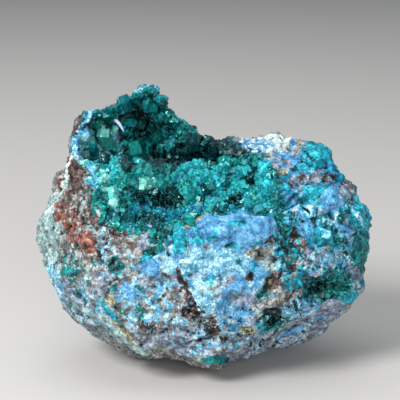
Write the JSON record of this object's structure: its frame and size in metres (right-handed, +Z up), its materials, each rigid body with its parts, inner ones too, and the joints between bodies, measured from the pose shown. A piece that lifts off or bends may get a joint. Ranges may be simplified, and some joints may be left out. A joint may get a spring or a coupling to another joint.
{
  "type": "dioptase specimen",
  "caption": "Hand-sized mineral specimen: deep green dioptase crystals line a hollow and coat the top of a blue, teal and brown rock that stands on a flat broken base.",
  "frame": {"origin": "middle of the bounding box, on the surface the specimen stands on", "axes": "+X to the right along the longest extent, -Y towards the viewer of the display face, +Z up"},
  "size_m": [0.0928, 0.0566, 0.0764],
  "materials": {
    "matrix_rock": "rough broken rock with pale blue, turquoise, grey-brown and rust-red mineral patches",
    "dioptase": "glassy, transparent to milky, deep emerald green to teal"
  },
  "bodies": {
    "root": {"matrix": "matrix_rock", "dioptase_crust": "dioptase", "right_pocket_crystals": "dioptase", "lower_pocket_crystals": "dioptase"}
  },
  "joints": []
}
